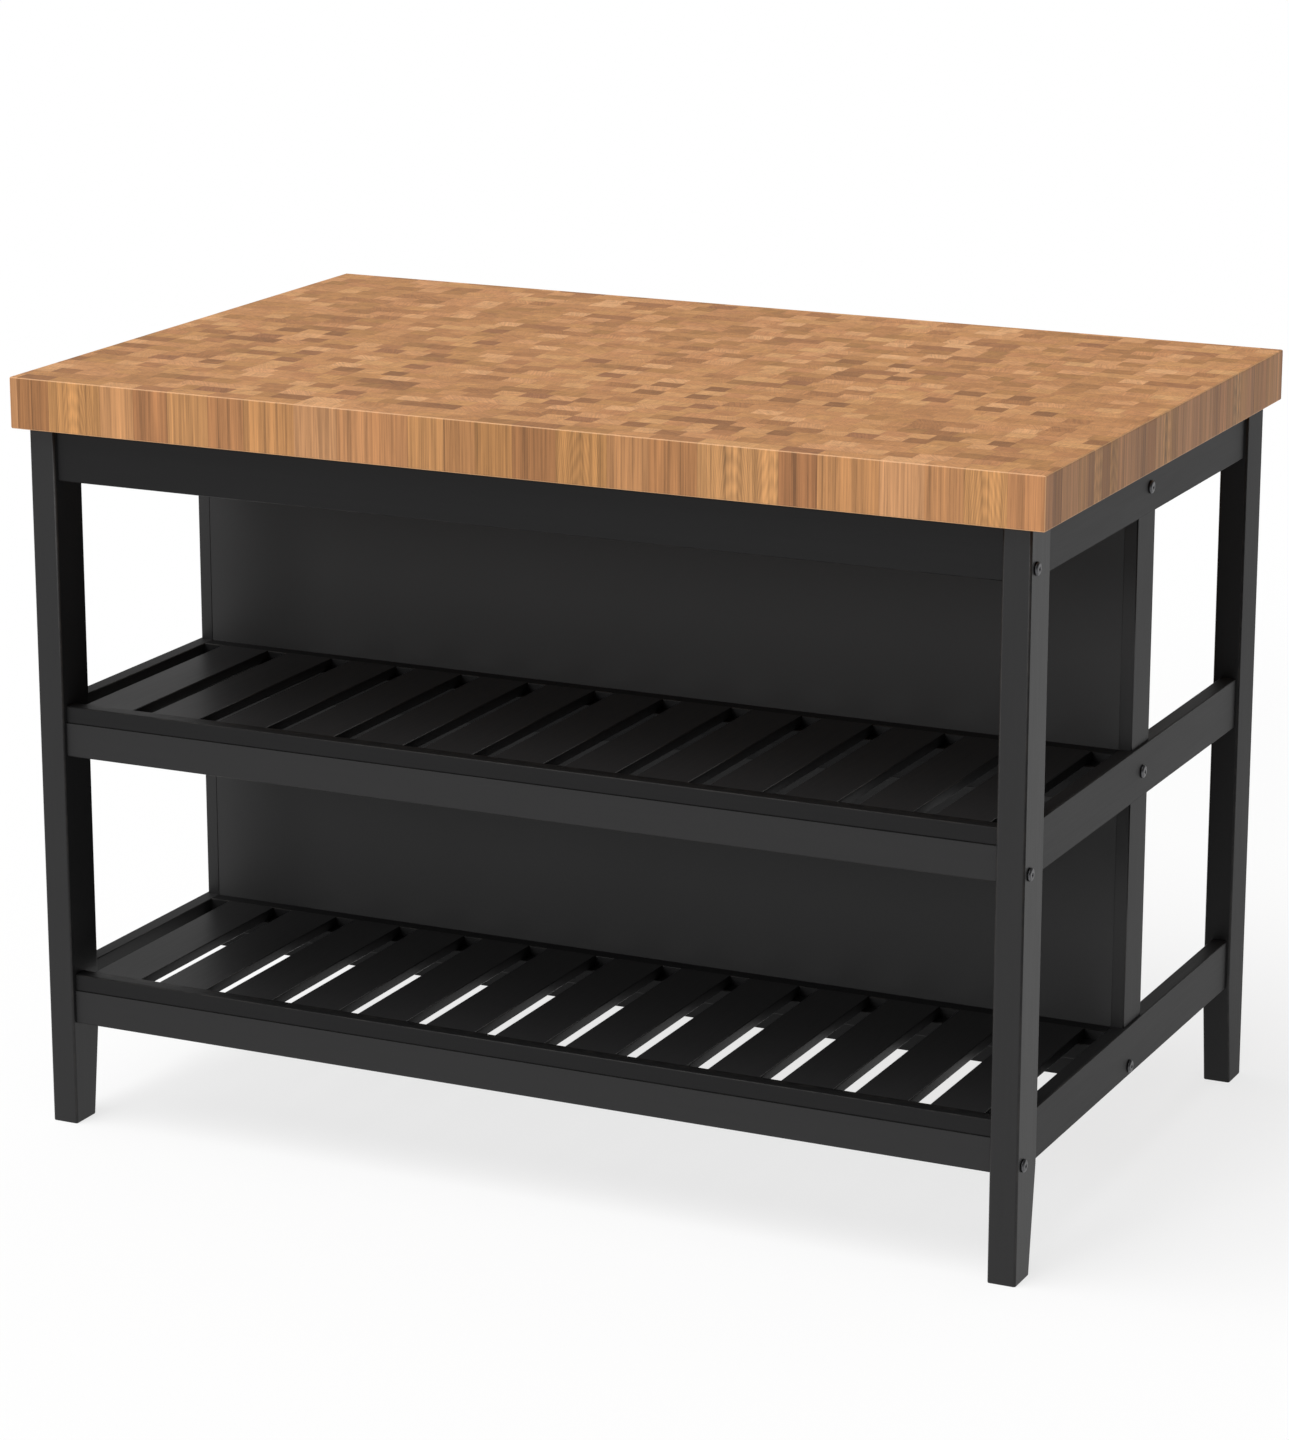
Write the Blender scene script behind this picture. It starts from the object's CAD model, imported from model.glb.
"""Kitchen island table: an end-grain butcher block top on a black painted wooden frame."""

import math
from functools import cached_property

import bmesh
import bpy
from mathutils import Matrix, Vector


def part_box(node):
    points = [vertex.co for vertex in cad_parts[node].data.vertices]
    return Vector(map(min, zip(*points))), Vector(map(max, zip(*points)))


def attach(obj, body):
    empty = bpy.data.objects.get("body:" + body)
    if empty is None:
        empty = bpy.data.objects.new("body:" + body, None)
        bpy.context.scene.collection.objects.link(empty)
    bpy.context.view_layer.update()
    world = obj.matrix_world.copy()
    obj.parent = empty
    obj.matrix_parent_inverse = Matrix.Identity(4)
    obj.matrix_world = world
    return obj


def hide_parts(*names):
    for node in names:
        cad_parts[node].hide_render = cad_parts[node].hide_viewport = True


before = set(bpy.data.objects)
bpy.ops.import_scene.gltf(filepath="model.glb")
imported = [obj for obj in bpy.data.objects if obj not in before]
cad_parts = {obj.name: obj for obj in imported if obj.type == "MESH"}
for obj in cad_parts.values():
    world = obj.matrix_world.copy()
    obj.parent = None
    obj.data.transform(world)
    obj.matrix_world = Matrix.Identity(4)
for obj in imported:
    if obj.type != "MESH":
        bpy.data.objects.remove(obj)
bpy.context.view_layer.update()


# ---------------------------------------------------------------------------------------------
# Legs. Four softwood posts, planed square with well-eased edges, painted satin black. The inner
# face tapers from the underside of the bottom rails to the floor. Rails are dowelled and bolted
# into them.
# ---------------------------------------------------------------------------------------------


class Num:
    """A shader value. Sums on it add Math nodes to its finish."""

    def __init__(self, finish, socket):
        self.finish = finish
        self.socket = socket

    def __add__(self, other):
        return self.finish.math("ADD", self, other)

    __radd__ = __add__

    def __sub__(self, other):
        return self.finish.math("SUBTRACT", self, other)

    def __rsub__(self, other):
        return self.finish.math("SUBTRACT", other, self)

    def __mul__(self, other):
        return self.finish.math("MULTIPLY", self, other)

    __rmul__ = __mul__


class Finish:
    """The nodes of a material or of the sky, whichever owns them."""

    def __init__(self, owner):
        self.owner = owner
        owner.use_nodes = True
        self.tree = owner.node_tree
        self.tree.nodes.clear()

    def node(self, kind, settings=None, sockets=None, take=None):
        """Adds a node: its settings first, then the values or links of its sockets. Gives back
        the node, or one of its outputs by name."""
        made = self.tree.nodes.new(kind)
        for name, value in (settings or {}).items():
            if name == "stops":
                ramp = made.color_ramp.elements
                while len(ramp) < len(value):
                    ramp.new(0.5)
                for stop, (place, colour) in zip(ramp, value):
                    stop.position = place
                    stop.color = (*colour, 1.0)
            else:
                setattr(made, name, value)
        for name, value in (sockets or {}).items():
            if isinstance(name, int):
                socket = made.inputs[name]
            else:
                socket = next(s for s in made.inputs if s.name == name and s.enabled)
            if isinstance(value, Num):
                self.tree.links.new(value.socket, socket)
            elif isinstance(value, tuple) and len(value) == 3 and socket.type == "RGBA":
                socket.default_value = (*value, 1.0)
            else:
                socket.default_value = value
        if take is None:
            return made
        return Num(self, next(s for s in made.outputs if s.name == take and s.enabled))

    @cached_property
    def at(self):
        """Where a point is on its object."""
        return self.node("ShaderNodeTexCoord", take="Object")

    def math(self, operation, *values):
        """One step of arithmetic."""
        sockets = dict(enumerate(values))
        return self.node("ShaderNodeMath", {"operation": operation}, sockets, "Value")

    def parts(self, kind, **whole):
        """The three parts of a vector or of a colour."""
        return (Num(self, output) for output in self.node(kind, None, whole).outputs)

    def noise(self, factors, detail=3.0, roughness=0.55, distortion=0.0, vector=None):
        """Smooth noise on the object's own coordinates, with that many features a metre along
        X, Y and Z."""
        stretch = {0: vector or self.at, 1: factors}
        scaled = self.node("ShaderNodeVectorMath", {"operation": "MULTIPLY"}, stretch, "Vector")
        sockets = {
            "Vector": scaled,
            "Scale": 1.0,
            "Detail": detail,
            "Roughness": roughness,
            "Distortion": distortion,
        }
        return self.node("ShaderNodeTexNoise", None, sockets, "Fac")

    def step(self, value, start, end):
        """0 below start, 1 above end, smooth between."""
        return self.node(
            "ShaderNodeMapRange",
            {"interpolation_type": "SMOOTHSTEP"},
            {"Value": value, "From Min": start, "From Max": end},
            "Result",
        )

    def mix(self, amount, first, second, way="MIX"):
        """Two colours, mixed."""
        return self.node(
            "ShaderNodeMix",
            {"data_type": "RGBA", "blend_type": way},
            {"Factor": amount, "A": first, "B": second},
            "Result",
        )

    def arris(self, start=0.03, end=0.2):
        """1 on rounded edges, 0 on the flat faces of a squared piece."""
        normal = self.node("ShaderNodeTexCoord", take="Normal")
        size = self.node("ShaderNodeVectorMath", {"operation": "ABSOLUTE"}, {0: normal}, "Vector")
        x, y, z = self.parts("ShaderNodeSeparateXYZ", Vector=size)
        flat = self.math("MAXIMUM", x, self.math("MAXIMUM", y, z))
        return self.step(1.0 - flat, start, end)

    def done(self, colour, roughness, height, relief, fixed=None):
        """Joins it all to the shader. relief is the depth of the height in metres, and fixed
        holds the shader values that are the same all over."""
        bump = self.node("ShaderNodeBump", None, {"Distance": relief, "Height": height}, "Normal")
        sockets = {"Base Color": colour, "Roughness": roughness, "Normal": bump, **(fixed or {})}
        shader = self.node("ShaderNodeBsdfPrincipled", None, sockets, "BSDF")
        self.node("ShaderNodeOutputMaterial", None, {"Surface": shader})
        return self.owner


worn_paint = (0.030, 0.027, 0.024)


def black_paint(name, along, deep, pale, rough=0.55, shine=0.3):
    """Satin black paint over wood whose grain runs along one axis: 0, 1 or 2. The coat's colour
    lies between deep and pale, and it is thin on the edges."""
    f = Finish(bpy.data.materials.new(name))
    grain_size = [260.0] * 3
    grain_size[along] = 8.0
    cloud_size = [14.0] * 3
    cloud_size[along] = 2.5
    grain = f.noise(tuple(grain_size), detail=5.0, roughness=0.62)
    cloud = f.noise(tuple(cloud_size), detail=3.0)
    peel = f.noise((900.0, 900.0, 900.0), detail=1.0)
    wear = f.arris() * f.step(f.noise((60.0, 60.0, 60.0), detail=4.0), 0.38, 0.66)
    colour = f.mix(grain * 0.55 + cloud * 0.45, deep, pale)
    colour = f.mix(wear * 0.5, colour, worn_paint)
    roughness = rough - 0.07 + grain * 0.10 + cloud * 0.06 - wear * 0.05
    height = grain * 0.7 + peel * 0.3
    return f.done(colour, roughness, height, 0.00013, {"IOR": 1.46, "Specular IOR Level": shine})


frame_black = {"deep": (0.0098, 0.0097, 0.0101), "pale": (0.0168, 0.0165, 0.0168)}
rear_black = {"deep": (0.0060, 0.0059, 0.0062), "pale": (0.0105, 0.0103, 0.0106)}
leg_paint = {
    "front": black_paint("black_front_leg_paint", 2, **frame_black, rough=0.42),
    "rear": black_paint("black_rear_leg_paint", 2, **rear_black, rough=0.57),
}


def bar(low, high):
    """A plain squared bar between two corners."""
    bm = bmesh.new()
    bmesh.ops.create_cube(bm, size=1.0)
    bmesh.ops.scale(bm, vec=high - low, verts=bm.verts)
    bmesh.ops.translate(bm, vec=(low + high) / 2, verts=bm.verts)
    return bm


def ease(bm, edges, radius, segments=4):
    """Rounds edges over."""
    bmesh.ops.bevel(
        bm,
        geom=edges,
        offset=radius,
        offset_type="OFFSET",
        segments=segments,
        profile=0.5,
        affect="EDGES",
        material=-1,
        clamp_overlap=True,
    )


def long_edges(bm, along):
    """The edges of a bar that run its long way."""
    found = []
    for edge in bm.edges:
        way = (edge.verts[1].co - edge.verts[0].co).normalized()
        if abs(way[along]) > 0.9:
            found.append(edge)
    return found


def place(bm, name, finish, slot, *nodes):
    """Makes a finished mesh an object of the table, in place of its CAD nodes."""
    bmesh.ops.recalc_face_normals(bm, faces=bm.faces)
    mesh = bpy.data.meshes.new(name)
    bm.to_mesh(mesh)
    bm.free()
    mesh.shade_smooth()
    mesh.materials.append(finish)
    piece = bpy.data.objects.new(name, mesh)
    bpy.context.scene.collection.objects.link(piece)
    even = piece.modifiers.new("even_shading", "WEIGHTED_NORMAL")
    even.weight = 100
    even.keep_sharp = True
    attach(piece, "root")
    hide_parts(*nodes)
    return piece


leg_arris = 0.003
foot_arris = 0.0012
foot_depth = 0.042
taper_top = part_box("side_rail_bottom_left")[0].z
touch = 0.001  # points this close together count as one

for end in ("front", "rear"):
    for side in ("left", "right"):
        node = f"leg_{end}_{side}"
        low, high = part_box(node)
        bm = bar(low, high)
        bmesh.ops.bisect_plane(
            bm,
            geom=bm.verts[:] + bm.edges[:] + bm.faces[:],
            plane_co=(0.0, 0.0, taper_top),
            plane_no=(0.0, 0.0, 1.0),
        )
        inner_y = high.y if end == "front" else low.y
        foot_y = low.y + foot_depth if end == "front" else high.y - foot_depth
        for vert in bm.verts:
            if vert.co.z < touch and abs(vert.co.y - inner_y) < touch:
                vert.co.y = foot_y
        ease(bm, long_edges(bm, 2), leg_arris)
        foot_rim = [e for e in bm.edges if all(v.co.z < touch for v in e.verts)]
        ease(bm, foot_rim, foot_arris, segments=2)
        place(bm, "painted_" + node, leg_paint[end], "black_frame", node)


# ---------------------------------------------------------------------------------------------
# Side rails and stiles. Three softwood rails on each side tie the front leg to the rear leg,
# and a stile between each pair of rails carries the edge of the panel. Painted as the legs are,
# dowelled end to end.
# ---------------------------------------------------------------------------------------------

rail_arris = 0.0015
side_rail_paint = black_paint("black_side_rail_paint", 1, **frame_black)

for tier in ("bottom", "middle", "top"):
    for side in ("left", "right"):
        node = f"side_rail_{tier}_{side}"
        bm = bar(*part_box(node))
        ease(bm, long_edges(bm, 1), rail_arris)
        place(bm, "painted_" + node, side_rail_paint, "black_frame", node)

fitted_arris = 0.0004  # left nearly sharp where the panel's edge fits against the stile
panel_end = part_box("panel_upper")[1].x
stile_black = {"deep": (0.0150, 0.0149, 0.0152), "pale": (0.0230, 0.0227, 0.0230)}
stile_paint = black_paint("black_stile_paint", 2, **stile_black)

for level in ("lower", "upper"):
    for side in ("left", "right"):
        node = f"stile_{level}_{side}"
        bm = bar(*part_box(node))
        corners = long_edges(bm, 2)
        inner = [e for e in corners if all(abs(v.co.x) < panel_end + touch for v in e.verts)]
        outer = [e for e in corners if e not in inner]
        ease(bm, outer, rail_arris)
        ease(bm, inner, fitted_arris, segments=2)
        place(bm, "painted_" + node, stile_paint, "black_frame", node)


# ---------------------------------------------------------------------------------------------
# Front rails. Painted softwood, between the front legs and a little behind the leg faces. A
# barrel nut sits in a hole bored into the inner face near each end, where the leg's bolt
# reaches it. The top rail has the duller coat of the shelf edging.
# ---------------------------------------------------------------------------------------------


def solids(node):
    """The box of each separate solid in a CAD node."""
    bm = bmesh.new()
    bm.from_mesh(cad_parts[node].data)
    bmesh.ops.remove_doubles(bm, verts=bm.verts, dist=0.00001)
    seen = set()
    boxes = []
    for first in bm.verts:
        if first in seen:
            continue
        seen.add(first)
        rim = [first]
        corners = []
        while rim:
            vert = rim.pop()
            corners.append(vert.co.copy())
            for edge in vert.link_edges:
                other = edge.other_vert(vert)
                if other not in seen:
                    seen.add(other)
                    rim.append(other)
        low = Vector([min(co[k] for co in corners) for k in range(3)])
        high = Vector([max(co[k] for co in corners) for k in range(3)])
        boxes.append((low, high))
    bm.free()
    return boxes


def bore(bm, centre, way, radius, depth):
    """A round blind hole in a flat face. way is the outward direction of that face. Four cuts
    make a square patch round the hole, and its rim is drawn out to a circle inside it."""
    centre = Vector(centre)
    way = Vector(way)
    patch_half = radius * 1.5
    rim_inset = radius * 0.35
    for k in [k for k in range(3) if abs(way[k]) < 0.5]:
        for sign in (-1, 1):
            cut = centre.copy()
            cut[k] += sign * patch_half
            across = Vector((0.0, 0.0, 0.0))
            across[k] = 1.0
            geom = set()
            for face in bm.faces:
                out = (face.calc_center_median() - centre).dot(way)
                if face.normal.dot(way) > 0.99 and abs(out) < 0.0005:
                    geom.add(face)
                    geom.update(face.verts)
                    geom.update(face.edges)
            bmesh.ops.bisect_plane(bm, geom=list(geom), plane_co=cut, plane_no=across, dist=1e-6)
    bm.normal_update()
    patch = min(
        (face for face in bm.faces if face.normal.dot(way) > 0.99),
        key=lambda face: (face.calc_center_median() - centre).length,
    )
    bmesh.ops.inset_region(bm, faces=[patch], thickness=rim_inset, use_even_offset=True)
    bmesh.ops.subdivide_edges(bm, edges=list(patch.edges), cuts=5)
    for vert in patch.verts:
        out = vert.co - centre
        out -= way * out.dot(way)
        vert.co = centre + out.normalized() * radius
    floor = bmesh.ops.extrude_discrete_faces(bm, faces=[patch])["faces"][0]
    bmesh.ops.translate(bm, vec=way * -depth, verts=floor.verts)


front_rail_paint = black_paint("black_cross_rail_paint", 0, **frame_black)
dull_black = {"deep": (0.0048, 0.0047, 0.0050), "pale": (0.0086, 0.0084, 0.0086)}
dull_paint = black_paint("black_dull_paint", 0, **dull_black, rough=0.46, shine=0.18)
nut_bore = 0.0104
glued_arris = 0.0003  # nearly sharp where the edging strip is glued on
nuts = solids("barrel_nuts")

for tier in ("bottom", "middle", "top"):
    node = f"front_rail_{tier}"
    low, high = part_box(node)
    bm = bar(low, high)
    under = [e for e in long_edges(bm, 0) if all(v.co.z < low.z + touch for v in e.verts)]
    over = [e for e in long_edges(bm, 0) if e not in under]
    ease(bm, under, rail_arris)
    ease(bm, over, rail_arris if tier == "top" else glued_arris, segments=2)
    bm.normal_update()
    for nut_low, nut_high in nuts:
        nut = (nut_low + nut_high) / 2
        if low.y < nut.y < high.y and low.z < nut.z < high.z:
            mouth = (nut.x, high.y, nut.z)
            bore(bm, mouth, (0.0, 1.0, 0.0), nut_bore / 2, high.y - nut_low.y)
    coat = dull_paint if tier == "top" else front_rail_paint
    place(bm, "painted_" + node, coat, "black_frame", node)


# ---------------------------------------------------------------------------------------------
# Shelf edging. A narrow strip glued on top of the bottom and middle front rails, a millimetre
# behind their faces. Its top is flush with the slats, whose ends it hides.
# ---------------------------------------------------------------------------------------------

for level in ("lower", "upper"):
    node = f"shelf_edging_{level}"
    low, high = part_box(node)
    bm = bar(low, high)
    front = [e for e in long_edges(bm, 0) if all(v.co.y < low.y + touch for v in e.verts)]
    ease(bm, front, rail_arris)
    place(bm, "painted_" + node, dull_paint, "black_frame", node)


# ---------------------------------------------------------------------------------------------
# Panel boards and shelf back rails. Two smooth lacquered boards stand behind the shelves. At
# the foot of each, a painted back rail dowelled between the side rails ends the slats.
# ---------------------------------------------------------------------------------------------


def lacquer(name):
    """Smooth satin black lacquer on board, with the faint ripple of a sprayed coat."""
    f = Finish(bpy.data.materials.new(name))
    cloud = f.noise((5.0, 5.0, 5.0), detail=2.0)
    speck = f.noise((420.0, 420.0, 420.0), detail=3.0)
    peel = f.noise((600.0, 600.0, 600.0), detail=1.0)
    wear = f.arris() * f.step(f.noise((70.0, 70.0, 70.0), detail=4.0), 0.4, 0.65)
    deep, pale, worn = (0.0260, 0.0259, 0.0262), (0.0350, 0.0348, 0.0350), (0.055, 0.054, 0.052)
    colour = f.mix(cloud * 0.6 + speck * 0.4, deep, pale)
    colour = f.mix(wear * 0.4, colour, worn)
    roughness = 0.44 + cloud * 0.05 + speck * 0.04
    height = peel * 0.8 + speck * 0.2
    return f.done(colour, roughness, height, 0.00004, {"IOR": 1.48, "Specular IOR Level": 0.16})


panel_lacquer = lacquer("black_panel_lacquer")
panel_arris = 0.0004
fit_gap = 0.0005  # left at each end of a board in the frame's shapes, and closed here

for level in ("lower", "upper"):
    node = f"panel_{level}"
    low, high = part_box(node)
    low.x -= fit_gap
    high.x += fit_gap
    bm = bar(low, high)
    ease(bm, bm.edges[:], panel_arris, segments=2)
    place(bm, "lacquered_" + node, panel_lacquer, "black_panel", node)

    node = f"shelf_back_rail_{level}"
    bm = bar(*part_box(node))
    ease(bm, long_edges(bm, 0), rail_arris)
    place(bm, "painted_" + node, dull_paint, "black_frame", node)


# ---------------------------------------------------------------------------------------------
# Shelf slats. Thirteen thin planed and painted boards in each shelf, from the edging strip to
# the back rail, flush with both, screwed to the ledgers from below.
# ---------------------------------------------------------------------------------------------

slat_black = {"deep": (0.0120, 0.0119, 0.0123), "pale": (0.0190, 0.0187, 0.0189)}
slat_paint = black_paint("black_slat_paint", 1, **slat_black, rough=0.38, shine=0.22)
slat_arris = 0.0012
slats_in_shelf = 13

for level in ("lower", "upper"):
    for number in range(1, slats_in_shelf + 1):
        node = f"{level}_slat_{number:02d}"
        low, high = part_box(node)
        low.y -= fit_gap
        high.y += fit_gap
        bm = bar(low, high)
        ease(bm, long_edges(bm, 1), slat_arris, segments=3)
        place(bm, "painted_" + node, slat_paint, "black_slat", node)


# ---------------------------------------------------------------------------------------------
# Hidden timber. The rear top rail, the rails and sill behind the panel and the ledgers under
# the slat ends, all painted softwood. They keep the frame's exact shapes, with their nut holes
# and screw pockets.
# ---------------------------------------------------------------------------------------------


def refinish(node, finish):
    """Gives a CAD node that keeps its own mesh another finish."""
    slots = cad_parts[node].data.materials
    slots.clear()
    slots.append(finish)


for node in ("rear_rail_top", "panel_rail_middle", "panel_rail_top", "panel_sill"):
    refinish(node, front_rail_paint)
refinish("slat_ledgers", dull_paint)


# ---------------------------------------------------------------------------------------------
# Worktop. Small blocks of oak stand on end, glued in rows and sanded flat. The top and the
# underside show end grain, the edges show the long grain of the outer blocks. Oiled.
# ---------------------------------------------------------------------------------------------

row_depth = 0.0244
block_length = 0.033
stave_length = 0.050  # the blocks of the front row are wider
front_row_back = -0.3715
row_offset = 0.23  # in rows: puts a joint at the back of the front row
glue_line = (0.0001, 0.0008)  # full to this far from a joint, and gone at this far
row_slide = 57.0  # in blocks: slides each row by a random share of this, so no joints line up


def oak_blocks(f):
    """Where a point is, three random numbers of the block under it, how far it is from the
    middle of the block, and 1 on a glue line."""
    x, y, z = f.parts("ShaderNodeSeparateXYZ", Vector=f.at)
    row_at = y * (1 / row_depth) + row_offset
    row = f.math("FLOOR", row_at)
    across = row_at - row
    shift = f.node("ShaderNodeTexWhiteNoise", {"noise_dimensions": "1D"}, {"W": row}, "Value")
    front = f.math("LESS_THAN", y, front_row_back)
    blocks_a_metre = 1 / block_length - front * (1 / block_length - 1 / stave_length)
    along = x * blocks_a_metre + shift * row_slide + row * 3.0
    cell = {"W": along, "Scale": 1.0, "Randomness": 0.9}
    to_middle = {"voronoi_dimensions": "1D"}
    to_edge = {"voronoi_dimensions": "1D", "feature": "DISTANCE_TO_EDGE"}
    chance = f.node("ShaderNodeTexVoronoi", to_middle, cell, "Color")
    centre = f.node("ShaderNodeTexVoronoi", to_middle, cell, "Distance")
    edge = f.node("ShaderNodeTexVoronoi", to_edge, cell, "Distance")
    tone, tint, turn = f.parts("ShaderNodeSeparateColor", Color=chance)
    near_row = f.math("MINIMUM", across, 1.0 - across) * row_depth
    near_joint = f.math("MINIMUM", near_row, edge * block_length)
    glue = 1.0 - f.step(near_joint, glue_line[0], glue_line[1])
    return x, y, z, tone, tint, turn, centre * stave_length, glue


oak_tones = [
    (0.00, (0.285, 0.118, 0.039)),
    (0.09, (0.385, 0.165, 0.055)),
    (0.28, (0.485, 0.216, 0.075)),
    (0.56, (0.565, 0.261, 0.096)),
    (0.82, (0.640, 0.310, 0.125)),
    (1.00, (0.760, 0.405, 0.180)),
]
red_oak = (0.60, 0.256, 0.110)
yellow_oak = (0.55, 0.285, 0.080)
sanded_oak = (0.84, 0.50, 0.27)


def oak_tone(f, tones, tone, tint, turn):
    """The colour of a whole block: one of the tones, some blocks redder, some yellower."""
    colour = f.node("ShaderNodeValToRGB", {"stops": tones}, {"Fac": tone}, "Color")
    colour = f.mix(f.step(tint, 0.4, 1.0) * 0.28, colour, red_oak)
    return f.mix(f.step(turn, 0.4, 1.0) * 0.34, colour, yellow_oak)


def oiled(f, colour, shade, glue, rough, height):
    """Figured wood under oil: paler on the sanded edges, darker and lower at the glue lines."""
    shade = shade - glue * 0.15
    thirds = {"Red": shade, "Green": shade, "Blue": shade}
    grey = f.node("ShaderNodeCombineColor", None, thirds, "Color")
    colour = f.mix(1.0, colour, grey, "MULTIPLY")
    colour = f.mix(f.arris(0.04, 0.16) * 0.45, colour, sanded_oak)
    fixed = {"IOR": 1.45, "Specular IOR Level": 0.35}
    return f.done(colour, rough, height - glue * 0.4, 0.00012, fixed)


def end_grain_oak(name):
    """Oak cut across the grain: the rings and rays lie another way in every block."""
    f = Finish(bpy.data.materials.new(name))
    x, y, z, tone, tint, turn, centre, glue = oak_blocks(f)
    colour = oak_tone(f, oak_tones, tone, tint, turn)
    angle = turn * 3.1
    cosine, sine = f.math("COSINE", angle), f.math("SINE", angle)
    ring_across = x * cosine + y * sine + tone * 3.0
    ring_along = y * cosine - x * sine + tint * 2.0
    turned = {"X": ring_across, "Y": ring_along, "Z": z}
    ring_at = f.node("ShaderNodeCombineXYZ", None, turned, "Vector")
    rings = f.noise((480.0, 22.0, 60.0), detail=3.0, roughness=0.7, vector=ring_at)
    rays = f.noise((30.0, 600.0, 60.0), detail=2.0, vector=ring_at)
    patch = f.noise((75.0, 75.0, 40.0), detail=2.0, roughness=0.6)
    fleck = f.noise((320.0, 480.0, 200.0), detail=4.0, roughness=0.75)
    pores = f.step(f.noise((900.0, 900.0, 400.0), detail=2.0), 0.57, 0.72)
    shade = 0.91 + (rings - 0.5) * 0.95 + (rays - 0.5) * 0.45 + (patch - 0.5) * 0.50
    shade = shade + (fleck - 0.5) * 0.80 - pores * 0.10
    height = rings * 0.4 + fleck * 0.3 - pores * 0.5
    return oiled(f, colour, shade, glue, 0.46 + fleck * 0.14 + pores * 0.1, height)


def long_grain_oak(name):
    """The sides of the same blocks, a little darker: streaks from top to bottom, and in a few
    of the blocks the arches of a flat cut."""
    f = Finish(bpy.data.materials.new(name))
    x, y, z, tone, tint, turn, centre, glue = oak_blocks(f)
    tone = tone * 0.80 + 0.12
    darker = [(at, (r * 0.79, g * 0.79, b * 0.82)) for at, (r, g, b) in oak_tones]
    colour = oak_tone(f, darker, tone, tint, turn)
    moved = {"X": x + tone * 3.0, "Y": y + tint * 3.0, "Z": z + turn}
    stave_at = f.node("ShaderNodeCombineXYZ", None, moved, "Vector")
    broad = f.noise((70.0, 70.0, 2.5), detail=2.0, vector=stave_at)
    streak_size = (210.0, 210.0, 3.0)
    streak = f.noise(streak_size, detail=4.0, roughness=0.75, distortion=0.15, vector=stave_at)
    fine = f.noise((800.0, 800.0, 12.0), detail=2.0, vector=stave_at)
    late_wood = f.noise((330.0, 330.0, 3.5), detail=3.0, roughness=0.6, vector=stave_at)
    lines = f.step(late_wood, 0.50, 0.64)
    pores = f.step(f.noise((1300.0, 1300.0, 45.0), detail=2.0), 0.58, 0.70)
    arch_at = centre * centre * 76000.0 + z * 300.0 + broad * 20.0 + streak * 8.0
    arches = f.math("SINE", arch_at) * 0.5 + 0.5
    arched = f.step(turn, 0.84, 0.87)
    shade = 0.93 + (broad - 0.5) * 0.90 + (streak - 0.5) * 1.30 + (fine - 0.5) * 0.50
    shade = shade - lines * 0.20 - pores * 0.08 + (arches - 0.5) * arched * 0.20
    height = streak * 0.4 + fine * 0.3 + arches * arched * 0.3 - pores * 0.5
    return oiled(f, colour, shade, glue, 0.46 + streak * 0.14 + pores * 0.08, height)


top_arris = 0.002
bm = bar(*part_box("worktop"))
ease(bm, bm.edges[:], top_arris)
bm.normal_update()
for face in bm.faces:
    face.material_index = 0 if abs(face.normal.z) > 0.9 else 1
end_grain = end_grain_oak("oak_end_grain")
worktop = place(bm, "butcher_block_top", end_grain, "butcher_block", "worktop")
worktop.data.materials.append(long_grain_oak("oak_long_grain"))


# ---------------------------------------------------------------------------------------------
# Frame bolts. Black oxide steel machine screws with a low round head and a hexagon socket, run
# through the legs and side rails into the barrel nuts.
# ---------------------------------------------------------------------------------------------


def metal(name, dark, light, rough):
    """Plated or blackened steel, with fine turning marks and handling wear."""
    f = Finish(bpy.data.materials.new(name))
    cloud = f.noise((160.0, 160.0, 160.0), detail=3.0)
    fine = f.noise((1400.0, 1400.0, 1400.0), detail=3.0)
    wear = f.arris(0.05, 0.3) * f.step(cloud, 0.4, 0.6)
    bright = tuple(min(1.0, part * 1.7) for part in light)
    colour = f.mix(cloud * 0.6 + fine * 0.4, dark, light)
    colour = f.mix(wear * 0.35, colour, bright)
    roughness = rough + fine * 0.12 - wear * 0.06
    return f.done(colour, roughness, fine, 0.00002, {"Metallic": 1.0})


def spun(profile, turns):
    """A closed round shape, spun about Z from (radius, height) points. The ends of the profile
    may lie off the axis."""
    bm = bmesh.new()
    verts = [bm.verts.new((radius, 0.0, height)) for radius, height in profile]
    edges = [bm.edges.new(pair) for pair in zip(verts, verts[1:])]
    bmesh.ops.spin(
        bm,
        geom=verts + edges,
        cent=(0.0, 0.0, 0.0),
        axis=(0.0, 0.0, 1.0),
        angle=2 * math.pi,
        steps=turns,
        use_merge=True,
        use_duplicate=False,
    )
    bmesh.ops.remove_doubles(bm, verts=bm.verts, dist=0.000002)
    return bm


def socket(bm, height, radius, depth, sides):
    """Closes the open rim at one height with a polygon socket sunk into it."""
    open_edges = [e for e in bm.edges if e.is_boundary]
    rim = [e for e in open_edges if all(abs(v.co.z - height) < 0.00001 for v in e.verts)]
    middle = Matrix.Translation((0.0, 0.0, height))
    hole = bmesh.ops.create_circle(bm, segments=sides, radius=radius, matrix=middle)["verts"]
    hole_edges = list({e for v in hole for e in v.link_edges})
    bmesh.ops.bridge_loops(bm, edges=rim + hole_edges)
    sunk = bmesh.ops.extrude_edge_only(bm, edges=hole_edges)["geom"]
    low_verts = [g for g in sunk if isinstance(g, bmesh.types.BMVert)]
    low_edges = [g for g in sunk if isinstance(g, bmesh.types.BMEdge) and g.is_boundary]
    bmesh.ops.translate(bm, vec=(0.0, 0.0, -depth), verts=low_verts)
    bmesh.ops.holes_fill(bm, edges=low_edges, sides=0)


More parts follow.
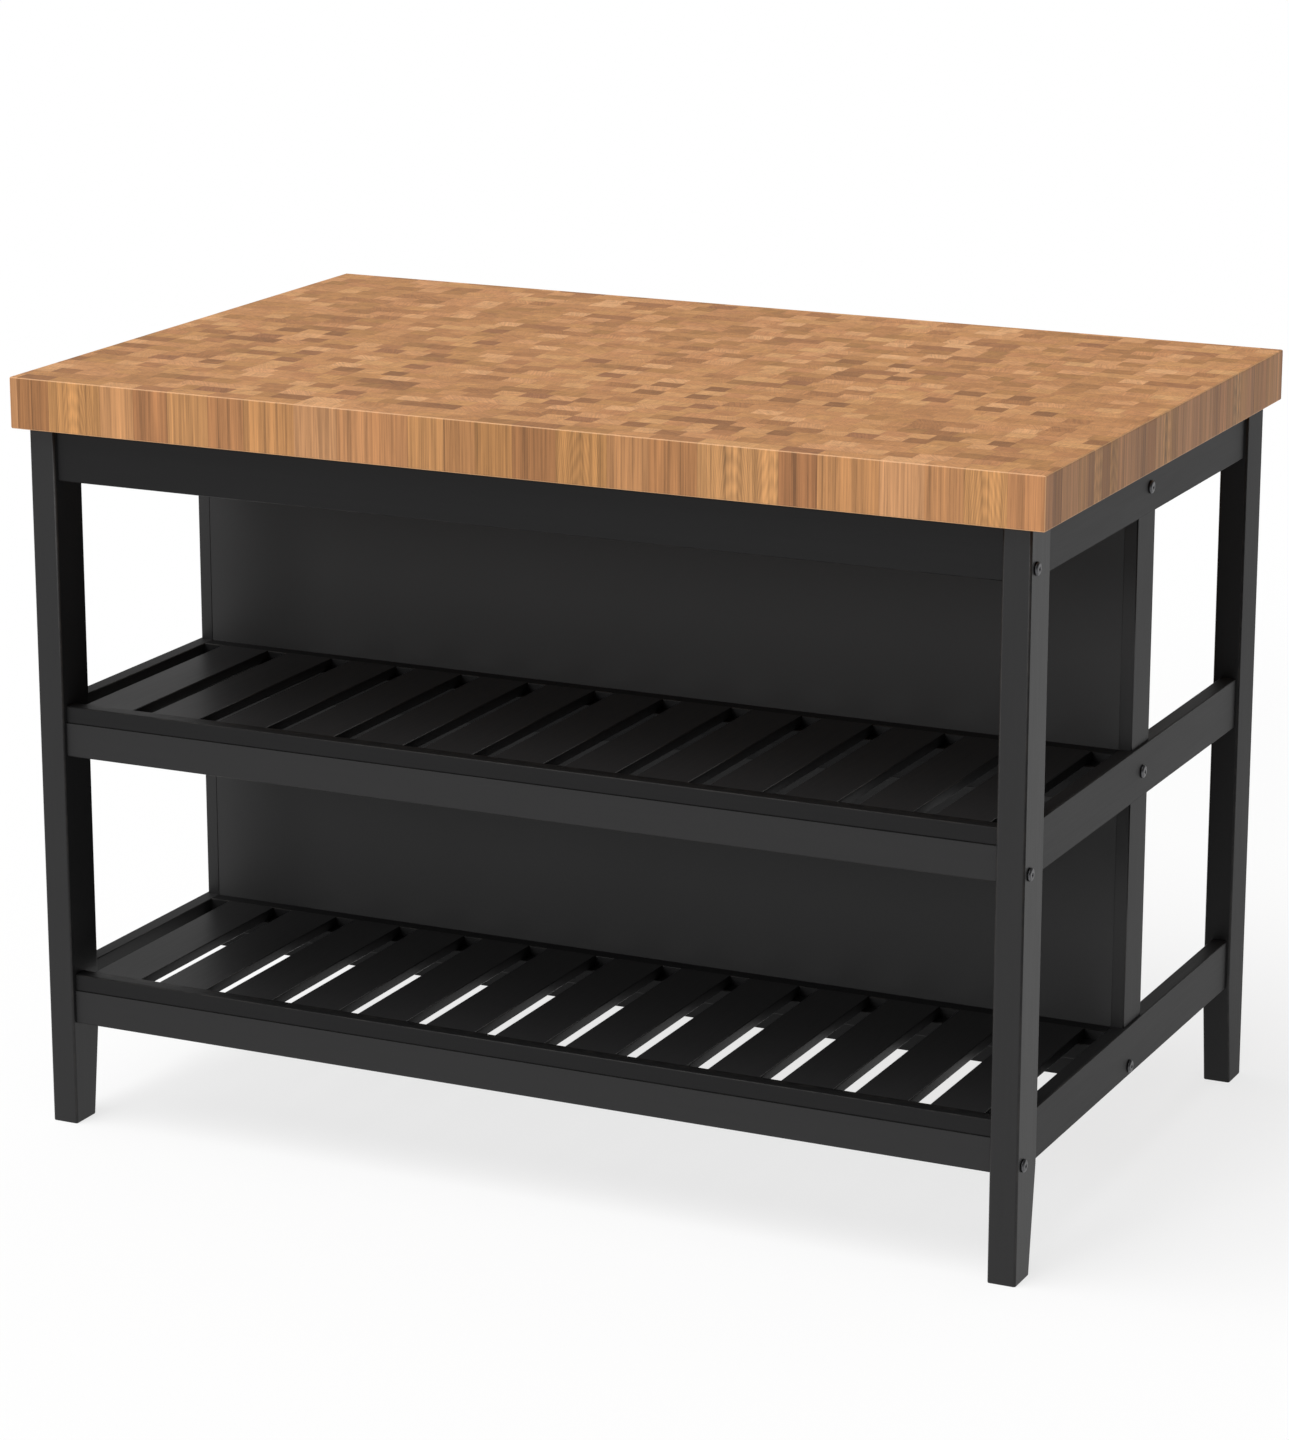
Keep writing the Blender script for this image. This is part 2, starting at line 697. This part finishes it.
def repeat(model, places):
    """One mesh with a copy of a model at each place."""
    shape = bpy.data.meshes.new("model")
    model.to_mesh(shape)
    model.free()
    bm = bmesh.new()
    for matrix in places:
        start = len(bm.verts)
        bm.from_mesh(shape)
        bm.verts.ensure_lookup_table()
        bmesh.ops.transform(bm, matrix=matrix, verts=bm.verts[start:])
    bpy.data.meshes.remove(shape)
    return bm


head_radius = 0.0075
head_height = 0.0035
bolt_radius = 0.003
bolt_chamfer = 0.0006
socket_mouth = 0.0034
socket_radius = 0.0023
socket_depth = 0.0024
socket_sides = 6

bolt_places = []
for low, high in solids("frame_bolts"):
    bolt_length = high.x - low.x - head_height
    side = 1 if low.x + high.x > 0 else -1
    outer = high.x if side > 0 else low.x
    under_head = outer - side * head_height
    spot = Vector((under_head, (low.y + high.y) / 2, (low.z + high.z) / 2))
    outward = Vector((side, 0, 0)).to_track_quat("Z", "X").to_matrix().to_4x4()
    bolt_places.append(Matrix.Translation(spot) @ outward)

bolt = spun(
    [
        (0.0, -bolt_length),
        (bolt_radius - bolt_chamfer, -bolt_length),
        (bolt_radius, -bolt_length + bolt_chamfer),
        (bolt_radius, 0.0),
        (head_radius, 0.0),
        (head_radius, 0.0014),
        (head_radius - 0.00025, 0.0021),
        (head_radius - 0.0008, 0.0028),
        (head_radius - 0.0016, 0.0033),
        (head_radius - 0.0025, head_height),
        (socket_mouth, head_height),
    ],
    turns=36,
)
socket(bolt, head_height, socket_radius, socket_depth, socket_sides)
bolts = repeat(bolt, bolt_places)
black_steel = metal("black_oxide_steel", (0.055, 0.055, 0.058), (0.11, 0.11, 0.115), 0.30)
place(bolts, "socket_head_bolts", black_steel, "black_bolt", "frame_bolts")


# ---------------------------------------------------------------------------------------------
# Small hardware. Zinc-plated steel barrel nuts, wood screws and the angle brackets that hold
# the top down, and beech dowels in the glued joints. All keep the frame's exact shapes.
# ---------------------------------------------------------------------------------------------


def beech_wood(name):
    """Pale beech, cut for dowels."""
    f = Finish(bpy.data.materials.new(name))
    fleck = f.noise((500.0, 500.0, 500.0), detail=4.0)
    cloud = f.noise((60.0, 60.0, 60.0), detail=2.0)
    colour = f.mix(fleck * 0.5 + cloud * 0.5, (0.46, 0.28, 0.15), (0.66, 0.45, 0.28))
    return f.done(colour, 0.55 + fleck * 0.15, fleck, 0.0001)


zinc_steel = metal("zinc_plated_steel", (0.40, 0.40, 0.41), (0.58, 0.58, 0.57), 0.28)
for node in ("barrel_nuts", "wood_screws", "angle_brackets"):
    refinish(node, zinc_steel)
refinish("dowels", beech_wood("beech"))


# ---------------------------------------------------------------------------------------------
# Studio. A plain pale floor that glows a little, and a sky that is brighter on the left. A
# broad soft key light stands high at the front left, and a weaker one low at the front.
# ---------------------------------------------------------------------------------------------

floor_half = 60.0
floor_grey = (0.24, 0.24, 0.24)
floor_glow = 0.74

bm = bmesh.new()
bmesh.ops.create_grid(bm, x_segments=1, y_segments=1, size=floor_half)
floor_mesh = bpy.data.meshes.new("floor")
bm.to_mesh(floor_mesh)
bm.free()
floor = bpy.data.objects.new("floor", floor_mesh)
bpy.context.scene.collection.objects.link(floor)
f = Finish(bpy.data.materials.new("pale_floor"))
paper = f.node(
    "ShaderNodeBsdfPrincipled",
    None,
    {
        "Base Color": floor_grey,
        "Roughness": 0.9,
        "Specular IOR Level": 0.0,
        "Emission Color": (1.0, 1.0, 1.0),
        "Emission Strength": floor_glow,
    },
    "BSDF",
)
f.node("ShaderNodeOutputMaterial", None, {"Surface": paper})
floor_mesh.materials.append(f.owner)

sky_left = 0.58
sky_right = 0.08
backdrop = 0.97  # the sky as the camera itself sees it

sky = Finish(bpy.data.worlds.new("studio"))
bpy.context.scene.world = sky.owner
way = sky.node("ShaderNodeTexCoord", take="Generated")
to_right = sky.node("ShaderNodeSeparateXYZ", None, {"Vector": way}, "X")
fade_ends = {"From Min": -1.0, "From Max": 1.0, "To Min": sky_left, "To Max": sky_right}
fade = sky.node("ShaderNodeMapRange", None, {"Value": to_right, **fade_ends}, "Result")
seen = sky.node("ShaderNodeLightPath", take="Is Camera Ray")
glow = sky.node("ShaderNodeMix", None, {"Factor": seen, "A": fade, "B": backdrop}, "Result")
white = {"Color": (1.0, 1.0, 1.0), "Strength": glow}
light = sky.node("ShaderNodeBackground", None, white, "Background")
sky.node("ShaderNodeOutputWorld", None, {"Surface": light})


def lamp(name, strength, spread, way):
    """A far lamp that shines one way. The spread in degrees softens its shadows."""
    data = bpy.data.lights.new(name, "SUN")
    data.energy = strength
    data.angle = math.radians(spread)
    stand = bpy.data.objects.new(name, data)
    stand.rotation_euler = Vector(way).to_track_quat("-Z", "Y").to_euler()
    bpy.context.scene.collection.objects.link(stand)


lamp("key", 2.3, 50, (0.24, 0.34, -0.91))
lamp("fill", 0.95, 18, (0.24, 0.92, -0.29))

bpy.context.scene.view_settings.view_transform = "Standard"


# ---------------------------------------------------------------------------------------------
# Camera. It stands at eye height at the front right, tilted down a little, with a long lens
# and no shift.
# ---------------------------------------------------------------------------------------------

camera_place = (2.2246, -4.7014, 1.8747)
camera_turn = math.radians(25.47)
camera_down = math.radians(15.1)

camera = bpy.data.cameras.new("camera")
camera.lens = 113.8
camera_object = bpy.data.objects.new("camera", camera)
camera_object.location = camera_place
camera_object.rotation_euler = (math.pi / 2 - camera_down, 0.0, camera_turn)
bpy.context.scene.collection.objects.link(camera_object)
bpy.context.scene.camera = camera_object
